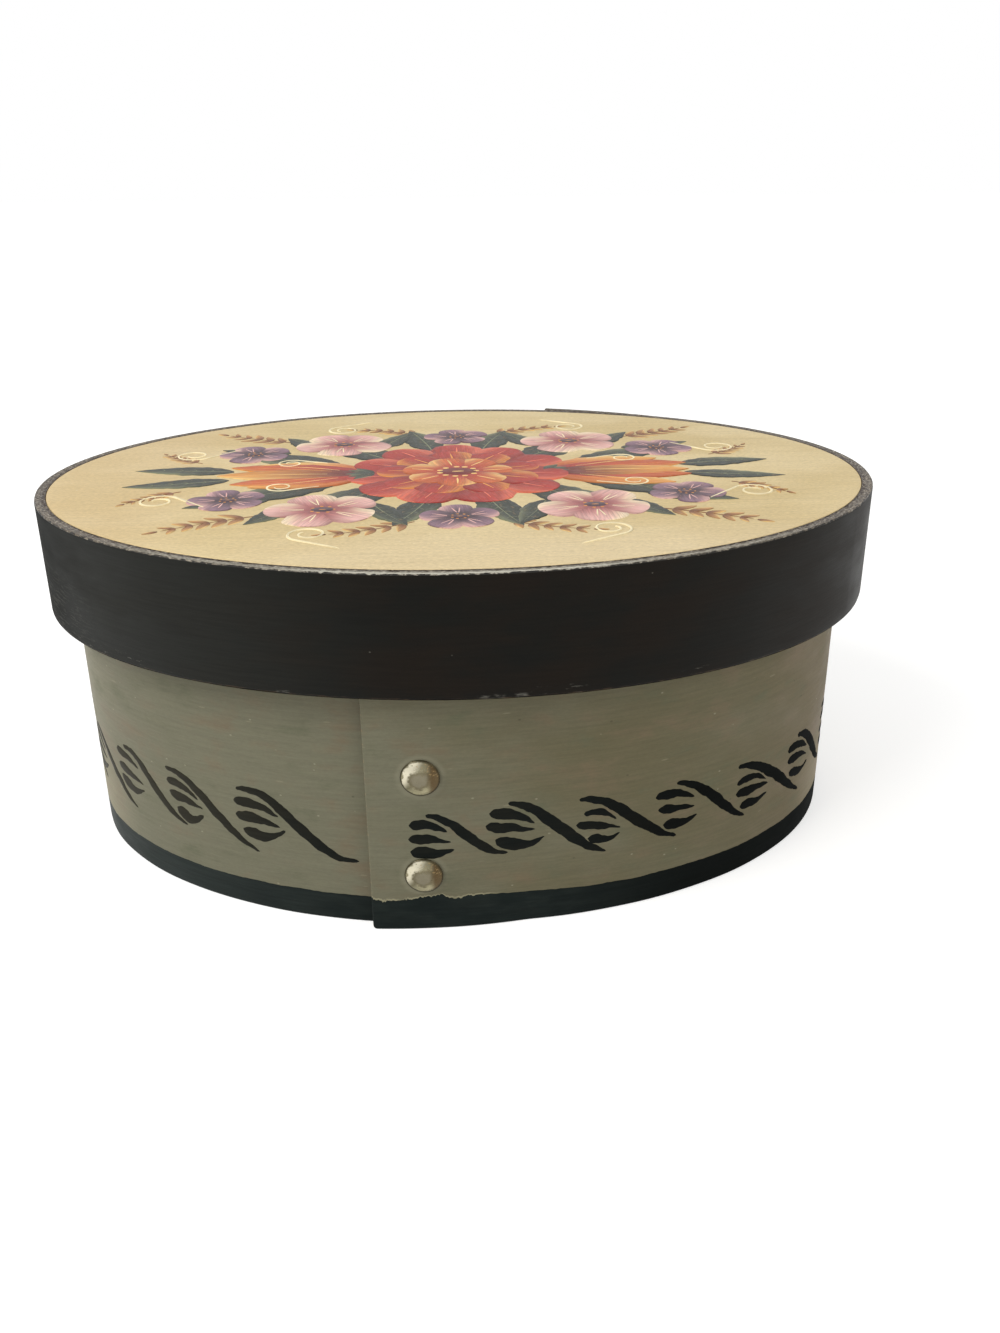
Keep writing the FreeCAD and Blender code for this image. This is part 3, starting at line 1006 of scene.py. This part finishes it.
# The units that show in front: where each S starts (length along the band, height), its run and fall, how
# heavy it is, how far its middle lies above the plain S, and how far it swings over it and then under it
UNITS = [
    (-130.5, 44.6, 33, 22, 0.95, 0, 0, PLAIN_PLACES),
    (-102.3, 46.2, 32.8, 20.8, 0.95, 1, 0.8,
     [(-5.8, -3.2, 1, 0.95, 1.2, -0.5), (-5.4, -8.6, 1.05, 1, -0.8, -0.3), (-4.6, -13, 1.12, 1, -1, -0.6)]),
    (-77.6, 46.1, 37.8, 23.7, 1, 1.5, 0.2,
     [(-0.2, -4.9, 0.97, 0.9, 0.2, 0), (0.6, -9.2, 1, 1, -0.5, 0), (3.4, -14.6, 0.88, 1.1, 0.2, -0.9)]),
    (-47.2, 45.4, 43.2, 21.6, 1.08, 0.6, 1.9,
     [(-1.2, -4.8, 1.17, 1.05, 1.2, 0.2), (-1, -10, 1.12, 1.15, 1, 0.2), (1.5, -15, 1.16, 1.05, 2.2, -0.6)]),
    (18.4, 43.9, 26.6, 16.2, 0.95, -0.7, 0.3,
     [(-5.5, -3.5, 0.86, 1, 1.3, -0.2), (-5.8, -8.6, 0.9, 1, 1, 0.1), (-5.2, -13.3, 1.02, 1.12, 0.4, 0.9)]),
    (44.9, 46.4, 33.5, 23, 1.14, 0.3, -0.2,
     [(-6.4, -3.4, 1.05, 1.15, -0.9, 0.1), (-7.4, -7.9, 1.08, 1.05, -0.3, -0.5),
      (-4.4, -13.2, 1.2, 1.1, -0.5, -0.6)]),
    (68.3, 44.8, 36.8, 21.3, 1.08, 1.2, 0.1,
     [(2, -5.7, 0.8, 0.72, 0.6, 0.2), (-0.8, -9.5, 1.04, 0.9, -0.8, 0), (3.2, -15.2, 0.84, 0.8, 0.6, 0.7)]),
    (103.8, 44.1, 31.5, 22.1, 1.02, 1.2, -0.4,
     [(-8, -3.8, 1.08, 1, 1.2, 0.2), (-7, -8.6, 0.98, 0.9, 0.6, -0.4), (-4.7, -14.9, 1, 0.95, 0.8, 0.9)]),
    (130, 43, 40, 24.2, 1.12, 2.4, -0.8,
     [(0.2, -7.1, 1.09, 0.8, 1.4, 0.8), (0, -10.8, 1.14, 1.1, 1.6, -0.2), (2.3, -16.6, 1.06, 0.9, 1, 1.4)]),
    (165, 43.2, 31, 22.5, 1.2, 1, 0,
     [(-6.3, -4.2, 1.14, 1, 0.4, 0.3), (-6, -8.7, 1.08, 1, -0.3, 0.7), (-4.3, -13.9, 1.15, 0.9, -0.8, 0.4)]),
]
# The other units: how far apart they are, how far their drops may lie to the right, and the least and most
# of their height, run, fall, weight, lift and swing
BORDER_PITCH = 28.6
DROP_SHIFTS = [-0.8, 0.4, 4.6, 6.0]
UNIT_SPANS = [(43.4, 46.4), (31, 37), (20.5, 23.5), (0.9, 1.12), (0, 1.4), (-0.5, 1.2)]
BORDER_COLUMNS = np.array([-1, -0.96, -0.8, -0.5, 0, 0.5, 0.8, 0.96, 1])
FILM_HEIGHT = 0.17
FILM_FOOT = 0.035


def brush_stroke(films, path, widths, draw, rows):
    """A wet stroke: its edges waver, its head is round and its tail runs out."""
    line = spline(path, rows)
    width = spline([(w, 0.0) for w in widths], rows)[:, 0]
    run = run_of(line)
    head = np.sqrt(smooth(run / (0.4 * widths[1])))
    tail = np.sqrt(np.clip((run[-1] - run) / 0.8, 0.0, 1.0))
    closed = np.maximum(head * tail, 0.04)
    half = []
    for _ in range(2):
        wobble = ripple(run, draw.random(), [(2.9, 0.08), (7.5, 0.16)])
        half.append(np.maximum(width / 2 + wobble, 0.1) * closed)
    flat = ribbon(line, *half, BORDER_COLUMNS)
    crown = np.sqrt(1 - (BORDER_COLUMNS * 0.999) ** 2)
    raised = crown[None, :] * (FILM_HEIGHT * closed)[:, None] - FILM_FOOT
    strip = np.stack([flat[..., 0], flat[..., 1], np.zeros_like(raised)], -1)
    films.add(flat, raised, strip=strip, place=films.lift(flat[..., 0], flat[..., 1], raised))


def border_unit(films, draw, start, height, run, fall, weight, lift, swing, places):
    def near(x, y):
        return x + draw.uniform(-0.15, 0.15), y + draw.uniform(-0.15, 0.15)

    path = []
    for share, drop in S_PATH:
        bend = lift * math.sin(math.pi * share) + swing * math.sin(2 * math.pi * share)
        path.append(near(start + share * run, height + drop * fall + bend))
    brush_stroke(films, path, [w * weight for w in S_WIDTHS], draw, 52)
    for (plain, widths), (x, y, stretch, heavy, tail, middle) in zip(DROPS, places):
        path = []
        for along, up in plain:
            share = along / plain[-1][0]
            bend = tail * share + middle * math.sin(math.pi * share)
            path.append(near(start + x + along * stretch, height + y + up + bend))
        brush_stroke(films, path, [w * heavy * draw.uniform(0.95, 1.05) for w in widths], draw, 34)


def build_border():
    def lift(along, up, raised):
        length = along % BOX_OVAL.perimeter
        outer, _ = face_offsets(BOX_OVAL, length)
        return BOX_OVAL.place(length, outer + box_waves(length, up) + raised, up)

    films = Films(lift)
    draw = random.Random(BORDER_SEED)
    for unit in UNITS:
        border_unit(films, draw, *unit)
    # The rest of the way round, evenly but by hand
    free_from = UNITS[-1][0] + BORDER_PITCH
    free_to = BOX_OVAL.perimeter + UNITS[0][0] - BORDER_PITCH
    count = round((free_to - free_from) / BORDER_PITCH)
    for i in range(count + 1):
        start = free_from + (free_to - free_from) * i / count + draw.uniform(-2.0, 2.0)
        shift = draw.choice(DROP_SHIFTS)
        places = []
        for x, y, stretch, heavy, tail, middle in PLAIN_PLACES:
            bend = middle + draw.uniform(-0.5, 0.5)
            places.append((x + shift, y - 0.3 * shift, stretch * draw.uniform(0.9, 1.15),
                           heavy * draw.uniform(0.88, 1.1), tail + draw.uniform(-0.8, 1.0), bend))
        border_unit(films, draw, start, *[draw.uniform(*span) for span in UNIT_SPANS], places)
    border = films.make("border_strokes", STROKES)
    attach(border, "box")


# The lid's flowers: a made-up arrangement, even left to right and front to back

PETAL_COLUMNS = np.array([-1, -0.96, -0.72, -0.4, 0, 0.4, 0.72, 0.96, 1])
LINE_COLUMNS = np.array([-1, -0.7, 0, 0.7, 1])
BURIED = -0.12

CRIMSON, SCARLET, SALMON = srgb(104, 24, 22), srgb(168, 46, 34), srgb(222, 116, 86)
ORANGE, AMBER, STRAW = srgb(196, 96, 40), srgb(218, 148, 66), srgb(238, 202, 128)
ROSE, BLUSH, PLUM, DUSK = srgb(168, 96, 94), srgb(226, 178, 168), srgb(72, 50, 60), srgb(136, 104, 118)
FOREST, MOSS, SAGE = srgb(40, 46, 36), srgb(66, 72, 54), srgb(128, 132, 98)
RUSSET, TAN, IVORY = srgb(128, 80, 42), srgb(184, 134, 78), srgb(240, 226, 184)


def blend(a, b, share):
    share = np.asarray(share)[..., None]
    return np.array(a) * (1 - share) + np.array(b) * share


def round_petal(t):
    """Half width along a petal that is widest near its tip."""
    return np.sqrt(np.clip(1 - np.abs((t - 0.62) / np.where(t < 0.62, 0.66, 0.38)) ** 2.3, 0, 1))


def slim_petal(t):
    return np.sin(math.pi * np.clip(t, 0, 1) ** 0.85) ** 0.85


def toothed_leaf(t):
    teeth = 1 - 0.13 * np.abs(((t * 7) % 1) - 0.2)
    return np.sin(math.pi * np.clip(t, 0, 1) ** 0.75) ** 0.9 * teeth


def eased(count):
    """Shares from 0 to 1, closer together near both ends."""
    return (1 - np.cos(np.linspace(0, math.pi, count))) / 2


def heading(angle):
    """Ahead along an angle, and aside to its left."""
    ahead = np.array([math.cos(angle), math.sin(angle)])
    return ahead, np.array([-ahead[1], ahead[0]])


def bent_line(x, y, angle, length, bend, t):
    """Points at shares t of a line's length. Bend is how far its end lies aside, in lengths."""
    ahead, aside = heading(angle)
    return np.array([x, y]) + np.outer(t * length, ahead) + np.outer(bend * length * t**2, aside)


def one_colour(colour):
    return lambda t, u: blend(colour, colour, 0 * t)


class Flowers:
    """Petals, leaves and lines on the lid, each a film of paint at its own level above the board."""

    STEP = 0.005

    def __init__(self):
        self.films = {}
        self.draw = random.Random(FLOWER_SEED)

    def start(self, name, level):
        """What follows belongs to this piece and lies on this level, in millimetres."""
        if name not in self.films:
            self.films[name] = Films(lambda x, y, raised: np.stack([x, y, TOTAL_HEIGHT + raised], -1))
        self.current = self.films[name]
        self.level = level

    def jitter(self, value, share):
        return value * self.draw.uniform(1 - share, 1 + share)

    def lay(self, line, left, right, across, hue, relief):
        """One film: hue gives its colour from the shares along and across it."""
        flat = ribbon(line, left, right, across)
        run = run_of(line)
        u = np.broadcast_to(across, flat.shape[:2])
        t = np.broadcast_to((run / run[-1])[:, None], flat.shape[:2])
        raised = self.level + relief * np.sqrt(1 - (u * 0.99) ** 2)
        raised[:, [0, -1]] = BURIED
        raised[[0, -1], :] = BURIED
        half = np.where(u > 0, left[:, None], right[:, None])
        drift = self.draw.uniform(0, 90)
        stroke = np.stack([t * run[-1], u * half + drift, np.full(flat.shape[:2], drift)], -1)
        place = np.concatenate([flat, np.zeros((*flat.shape[:2], 1))], -1)
        self.current.add(flat, raised, hue=hue(t, u), stroke=stroke, place=place)

    def petal(self, x, y, angle, length, width, form, root, tip, edge, bend=0.0, rows=22):
        """A petal from its root at x, y, with a light edge on one side and a dark root."""
        self.level += self.STEP
        t = eased(rows)
        angle += self.draw.uniform(-0.05, 0.05)
        length, width = self.jitter(length, 0.05), self.jitter(width, 0.06)
        line = bent_line(x, y, angle, length, bend, t)
        half = np.maximum(form(t) * width / 2, 0.04)
        left, right = (half * (1 + ripple(t * length, self.draw.random(), [(9.0, 0.05)])) for _ in range(2))
        lit = self.draw.choice([-1, 1])
        waver = self.draw.uniform(0, 6)

        def hue(t, u):
            colour = blend(root, tip, smooth(t * 1.15 - 0.1 + 0.06 * np.sin(7 * u + waver)))
            colour = colour * (1 - blend(0.0, 0.3, smooth((0.35 - t) / 0.35)))
            colour = colour * (1 - blend(0.0, 0.35, smooth((-u * lit - 0.55) / 0.45)))
            side = smooth((u * lit - 0.15) / 0.8) * smooth(t * 2.2 - 0.4)
            return colour + (np.array(edge) - colour) * 0.75 * side[..., None]

        self.lay(line, left, right, PETAL_COLUMNS, hue, 0.03)
        return line

    def line(self, path, widths, colour, rows=40):
        """A thin stroke of the liner brush."""
        line = spline(path, rows)
        run = run_of(line)
        half = spline([(w, 0) for w in widths], rows)[:, 0] / 2
        ends = np.sqrt(np.clip(np.minimum(run, run[-1] - run) / 0.5, 0, 1))
        half = np.maximum(half * (1 + ripple(run, self.draw.random(), [(5.0, 0.14)])) * ends, 0.03)
        self.lay(line, half, half, LINE_COLUMNS, one_colour(colour), 0.05)

    def dot(self, x, y, radius, colour, rows=9):
        across = 2 * eased(rows) - 1
        line = np.stack([x + across * radius, np.full(rows, float(y))], 1)
        half = np.maximum(radius * np.sqrt(1 - across**2), 0.02)
        self.lay(line, half, half, LINE_COLUMNS, one_colour(colour), 0.08)

    def leaf(self, x, y, angle, length, width, dark, light, bend=0.0):
        """A two-tone leaf with a midrib and side veins."""
        mid = self.petal(x, y, angle, length, width, toothed_leaf, dark, dark, light, bend, rows=34)
        self.line(mid[3:-3:4], [0.8, 0.7, 0.6, 0.5, 0.4, 0.3, 0.2], light, rows=24)
        vein = blend(dark, light, 0.65)
        for place in (0.32, 0.42, 0.52, 0.62):
            here = mid[int(place * len(mid))]
            for side in (-1, 1):
                tip = here + width * 0.26 * heading(angle + side * 0.75)[0]
                self.line([here, (here + tip) / 2 + 0.3, tip], [0.5, 0.4, 0.2], vein, rows=8)

    def eye(self, x, y, radius, dark, light, count):
        self.dot(x, y, radius, dark, rows=15)
        self.level += self.STEP
        for i in range(count):
            turn = 2 * math.pi * i / count + self.draw.uniform(-0.1, 0.1)
            self.dot(x + math.cos(turn) * radius, y + math.sin(turn) * radius, radius * 0.17, light)
        self.dot(x, y, radius * 0.35, light)

    def rose(self, x, y, size):
        """Rings of overlapping petals round a dotted eye."""
        rings = [(11, 0.42, 1.0, CRIMSON, SCARLET, SALMON), (9, 0.27, 0.72, CRIMSON, SCARLET, AMBER),
                 (7, 0.12, 0.48, SCARLET, ORANGE, STRAW)]
        for count, root, tip, dark, body, light in rings:
            for i in range(count):
                turn = 2 * math.pi * (i + self.draw.uniform(-0.08, 0.08)) / count + root
                start = (x + math.cos(turn) * size * root * 0.5, y + math.sin(turn) * size * root * 0.5)
                reach = size * (tip - root * 0.5)
                wide = 2 * math.pi * size * tip / count * 0.9
                mid = self.petal(*start, turn, reach, wide, round_petal, dark, body, light)
                self.line([mid[8], mid[12] + 0.4, mid[17] + 0.5], [0.3, 1.0, 0.2], light, rows=10)
        self.eye(x, y, size * 0.16, CRIMSON, STRAW, 11)

    def blossom(self, x, y, size, dark, body, light, count=5):
        spin = self.draw.uniform(0, 1.2)
        for i in range(count):
            turn = spin + 2 * math.pi * i / count
            ahead, aside = heading(turn)
            mid = self.petal(*(np.array([x, y]) + ahead * size * 0.12), turn, size * 0.9, size * 0.92,
                             round_petal, dark, body, light)
            for away in (aside * -0.9, aside * 0.9):
                self.line([mid[5], mid[10] + away, mid[14] + away * 1.6], [0.3, 0.7, 0.15], light, rows=8)
        self.eye(x, y, size * 0.2, PLUM, AMBER, 7)

    def tulip(self, x, y, angle, size):
        """Five long petals fanned from one root, the middle one last."""
        fan = [(-0.52, 0.86, ORANGE, AMBER, STRAW), (0.52, 0.86, ORANGE, AMBER, STRAW),
               (-0.27, 0.98, SCARLET, ORANGE, AMBER), (0.27, 0.98, SCARLET, ORANGE, AMBER),
               (0.0, 1.0, CRIMSON, AMBER, STRAW)]
        for turn, reach, dark, body, light in fan:
            mid = self.petal(x, y, angle + turn, size * reach, size * 0.36, slim_petal, dark, body, light,
                             bend=-turn * 0.28, rows=26)
            self.line([mid[8], mid[13] + 0.4, mid[19]], [0.3, 0.9, 0.2], light, rows=14)
        root = (x - math.cos(angle) * 2, y - math.sin(angle) * 2)
        for i in range(5):
            turn = angle + (i - 2) * 0.42
            self.petal(*root, turn, size * 0.2, size * 0.09, slim_petal, FOREST, MOSS, SAGE, rows=10)

    def sprig(self, x, y, angle, length, bend):
        """A thin stem with slim paired leaves."""
        t = np.linspace(0, 1, 7)
        stem = bent_line(x, y, angle, length, bend, t)
        self.line(stem, [0.8, 0.8, 0.7, 0.6, 0.5, 0.4, 0.3], RUSSET, rows=24)
        for i in range(1, 7):
            for side in (-0.75, 0.75) if i < 6 else (0.0,):
                turn = angle + 2 * bend * t[i] + side
                size = self.jitter(length * 0.26 * (1.15 - 0.5 * t[i]), 0.12)
                self.petal(*stem[i], turn, size, size * 0.4, slim_petal, RUSSET, TAN, STRAW, rows=10)

    def scroll(self, x, y, angle, size, hand):
        """A liner tendril that runs into a spiral. Hand is 1 to curl left and -1 to curl right."""
        path = [(-2.3, -1.5), (-1.2, -1.25)]
        for i in range(19):
            turn = -math.pi / 2 + i * 2.7 * math.pi / 18
            reach = 1 - 0.66 * i / 18
            path.append((math.cos(turn) * reach, math.sin(turn) * reach))
        cos, sin = math.cos(angle) * size, math.sin(angle) * size
        placed = [(x + a * cos - b * hand * sin, y + a * sin + b * hand * cos) for a, b in path]
        self.line(placed, [0.5, 0.9] + [1.0] * 10 + [0.9] * 6 + [0.8, 0.7, 0.6], IVORY, rows=80)


# The arrangement is drawn for the right back quarter, and mirrored by signs along (x) and across (y).
QUARTERS = [(1, 1), (-1, 1), (1, -1), (-1, -1)]


def mirrored(along, across, place, degrees):
    """A place and a heading of the right back quarter, mirrored into another one: x, y and an angle."""
    turn = math.radians(degrees)
    return along * place[0], across * place[1], math.atan2(across * math.sin(turn), along * math.cos(turn))


# Leaves of one quarter: root, heading in degrees, length, width and bend
LEAVES = [
    ((26, 20), 48, 44, 20, 0.08), ((44, 12), 26, 52, 19, 0.10), ((84, 6), 13, 37, 13, -0.08),
    ((10, 34), 78, 36, 15, -0.10), ((56, 40), 62, 26, 11, -0.12), ((30, 40), 108, 30, 12, 0.10),
    ((66, 34), 8, 30, 12, 0.12),
]
# Sprigs: root, heading, length and bend
SPRIGS = [((66, 52), 22, 34, 0.1), ((14, 62), 38, 30, -0.25), ((98, 20), 30, 22, 0.2)]
# Scrolls: middle, heading, size, and 1 to curl left in the drawn quarter
SCROLLS = [((104, 33), -60, 7.5, 1), ((48, 74), -20, 7.0, -1), ((64, 17), 35, 5.5, -1)]
# Blossoms of one quarter, then the one on the middle line, in front and at the back: middle, size, colours
MAUVE = (PLUM, DUSK, BLUSH)
BLOSSOMS = [((46, 47), 19, (ROSE, BLUSH, IVORY)), ((80, 33), 13.5, MAUVE)]
MIDDLE_BLOSSOM = ((0, 58), 13.5, MAUVE)
# How far each kind of motif lies above the board, in millimetres
LEAF_LEVEL, LEAF_STEP, QUARTER_STEP = 0.02, 0.012, 0.003
FLOWER_LEVEL = 0.13
SCROLL_LEVEL = 0.2


def build_flowers():
    flowers = Flowers()
    for quarter, (along, across) in enumerate(QUARTERS):
        hand = along * across
        for i, (root, degrees, length, width, bend) in enumerate(LEAVES):
            flowers.start("lid_leaves", LEAF_LEVEL + i * LEAF_STEP + quarter * QUARTER_STEP)
            place = mirrored(along, across, root, degrees)
            light = SAGE if length > 35 else blend(SAGE, MOSS, 0.4)
            flowers.leaf(*place, length, width, FOREST, light, bend * hand)
        for root, degrees, length, bend in SPRIGS:
            flowers.start("lid_sprigs", LEAF_LEVEL)
            flowers.sprig(*mirrored(along, across, root, degrees), length, bend * hand)
        for middle, degrees, size, curl in SCROLLS:
            flowers.start("lid_scrolls", SCROLL_LEVEL)
            flowers.scroll(*mirrored(along, across, middle, degrees), size, curl * hand)
    for side in (1, -1):
        flowers.start("lid_tulips", FLOWER_LEVEL)
        flowers.tulip(*mirrored(side, 1, (33, 0), 0), 55)
    blossoms = [(sides, blossom) for sides in QUARTERS for blossom in BLOSSOMS]
    blossoms += [((1, side), MIDDLE_BLOSSOM) for side in (1, -1)]
    for (along, across), ((x, y), size, colours) in blossoms:
        flowers.start("lid_blossoms", FLOWER_LEVEL)
        flowers.blossom(along * x, across * y, size, *colours)
    flowers.start("lid_rose", FLOWER_LEVEL)
    flowers.rose(0, 0, 43)
    for name, films in flowers.films.items():
        piece = films.make(name, ARTIST)
        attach(piece, "lid")


# Stage, light and camera

# The camera as solved from the photograph, which is 1000 x 1333 pixels
PHOTO_HEIGHT = 1333
FOCAL_PIXELS = 1174.06
CAMERA_PLACE = (-1.920, -431.222, 239.202)
CAMERA_YAW = 0.03939
CAMERA_PITCH = 0.41700
CAMERA_ROLL = 0.00911
SENSOR = 36.0

# Lamps: place, size, power and colour
LAMPS = {
    "window": ((-800, -500, 1050), (900, 700), 11.0, (1.0, 0.995, 0.98)),
    "fill": ((900, -700, 700), (900, 700), 3.5, (1.0, 0.97, 0.93)),
}
LIGHT_LEVEL = 0.56
FLOOR_REACH = 6000.0
FLOOR_GLOW = (0.47, 0.58)
GLOW_REACH = (0.25, 1.1)


def build_camera():
    data = bpy.data.cameras.new("camera")
    data.sensor_width = SENSOR
    data.lens = SENSOR * FOCAL_PIXELS / PHOTO_HEIGHT
    data.clip_start = 0.01
    data.clip_end = 20.0
    camera = new_object("camera", data)
    forward = Vector((math.sin(CAMERA_YAW) * math.cos(CAMERA_PITCH),
                      math.cos(CAMERA_YAW) * math.cos(CAMERA_PITCH), -math.sin(CAMERA_PITCH)))
    level = Vector((math.cos(CAMERA_YAW), -math.sin(CAMERA_YAW), 0.0))
    down = forward.cross(level)
    right = math.cos(CAMERA_ROLL) * level + math.sin(CAMERA_ROLL) * down
    up = math.sin(CAMERA_ROLL) * level - math.cos(CAMERA_ROLL) * down
    turn = Matrix((right, up, -forward)).transposed().to_4x4()
    camera.matrix_world = Matrix.Translation(Vector(CAMERA_PLACE) * TO_METRES) @ turn
    bpy.context.scene.camera = camera


def seen_directly(tree):
    """1 for rays from the camera, a mirror or a glass, 0 for the rays that light the object."""
    rays = tree.nodes.new("ShaderNodeLightPath").outputs
    total = rays["Is Camera Ray"]
    for kind in ("Is Glossy Ray", "Is Transmission Ray"):
        either = tree.nodes.new("ShaderNodeMath")
        either.operation = "MAXIMUM"
        tree.links.new(total, either.inputs[0])
        tree.links.new(rays[kind], either.inputs[1])
        total = either.outputs[0]
    return total


def pale_stage_material():
    """A plain pale floor that is white where it is seen, apart from the object's shadow."""
    paint = Paint("pale_floor", roughness=0.9, specular=0.0)
    paint.surface.inputs["Base Color"].default_value = (0.8, 0.8, 0.79, 1.0)
    # It glows a little less near the object, whose soft shadow would be lost in white otherwise.
    distance = paint.length(paint.add("TexCoord").outputs["Object"])
    strength = distance.ramp(*GLOW_REACH, *FLOOR_GLOW)
    glow = paint.add("Emission", Color=(1.0, 1.0, 1.0), Strength=strength)
    both = paint.add("AddShader")
    paint.link(both.inputs[0], paint.surface.outputs[0])
    paint.link(both.inputs[1], glow.outputs[0])
    choice = paint.add("MixShader", Fac=seen_directly(paint.tree))
    paint.link(choice.inputs[1], paint.surface.outputs[0])
    paint.link(choice.inputs[2], both.outputs[0])
    paint.link(paint.tree.nodes["Material Output"].inputs["Surface"], choice.outputs[0])
    return paint.material


def build_stage():
    corners = [(FLOOR_REACH * x, FLOOR_REACH * y, 0) for x, y in ((-1, -1), (1, -1), (1, 1), (-1, 1))]
    floor = make_piece("floor", corners, [(0, 1, 2, 3)], [pale_stage_material()])


def area_light(name, place, size, power, colour):
    data = bpy.data.lights.new(name, "AREA")
    data.shape = "RECTANGLE"
    data.size, data.size_y = (s * TO_METRES for s in size)
    data.energy = power
    data.color = colour
    lamp = new_object(name, data)
    aim = Vector((0, 0, TOTAL_HEIGHT / 2))
    lamp.location = Vector(place) * TO_METRES
    lamp.rotation_euler = (aim - Vector(place)).to_track_quat("-Z", "Y").to_euler()


def build_light():
    world = bpy.data.worlds.new("studio")
    bpy.context.scene.world = world
    world.use_nodes = True
    tree = world.node_tree
    strength = tree.nodes.new("ShaderNodeMapRange")
    strength.inputs["To Min"].default_value = LIGHT_LEVEL
    strength.inputs["To Max"].default_value = 1.0
    tree.links.new(seen_directly(tree), strength.inputs["Value"])
    background = tree.nodes["Background"]
    background.inputs["Color"].default_value = (1.0, 1.0, 1.0, 1.0)
    tree.links.new(strength.outputs[0], background.inputs["Strength"])
    for name, lamp in LAMPS.items():
        area_light(name, *lamp)


build_box_band()
build_lid_band()
build_board("bottom_board", "box", BOX_OVAL, 0.0, BOARD_WOOD, sag=0.1)
build_board("lid_board", "lid", LID_OVAL, BOX_BAND_HEIGHT, CREAM, sag=0.06)
build_rivets()
build_border()
build_flowers()
build_camera()
build_stage()
build_light()
bpy.context.scene.view_settings.view_transform = "Standard"
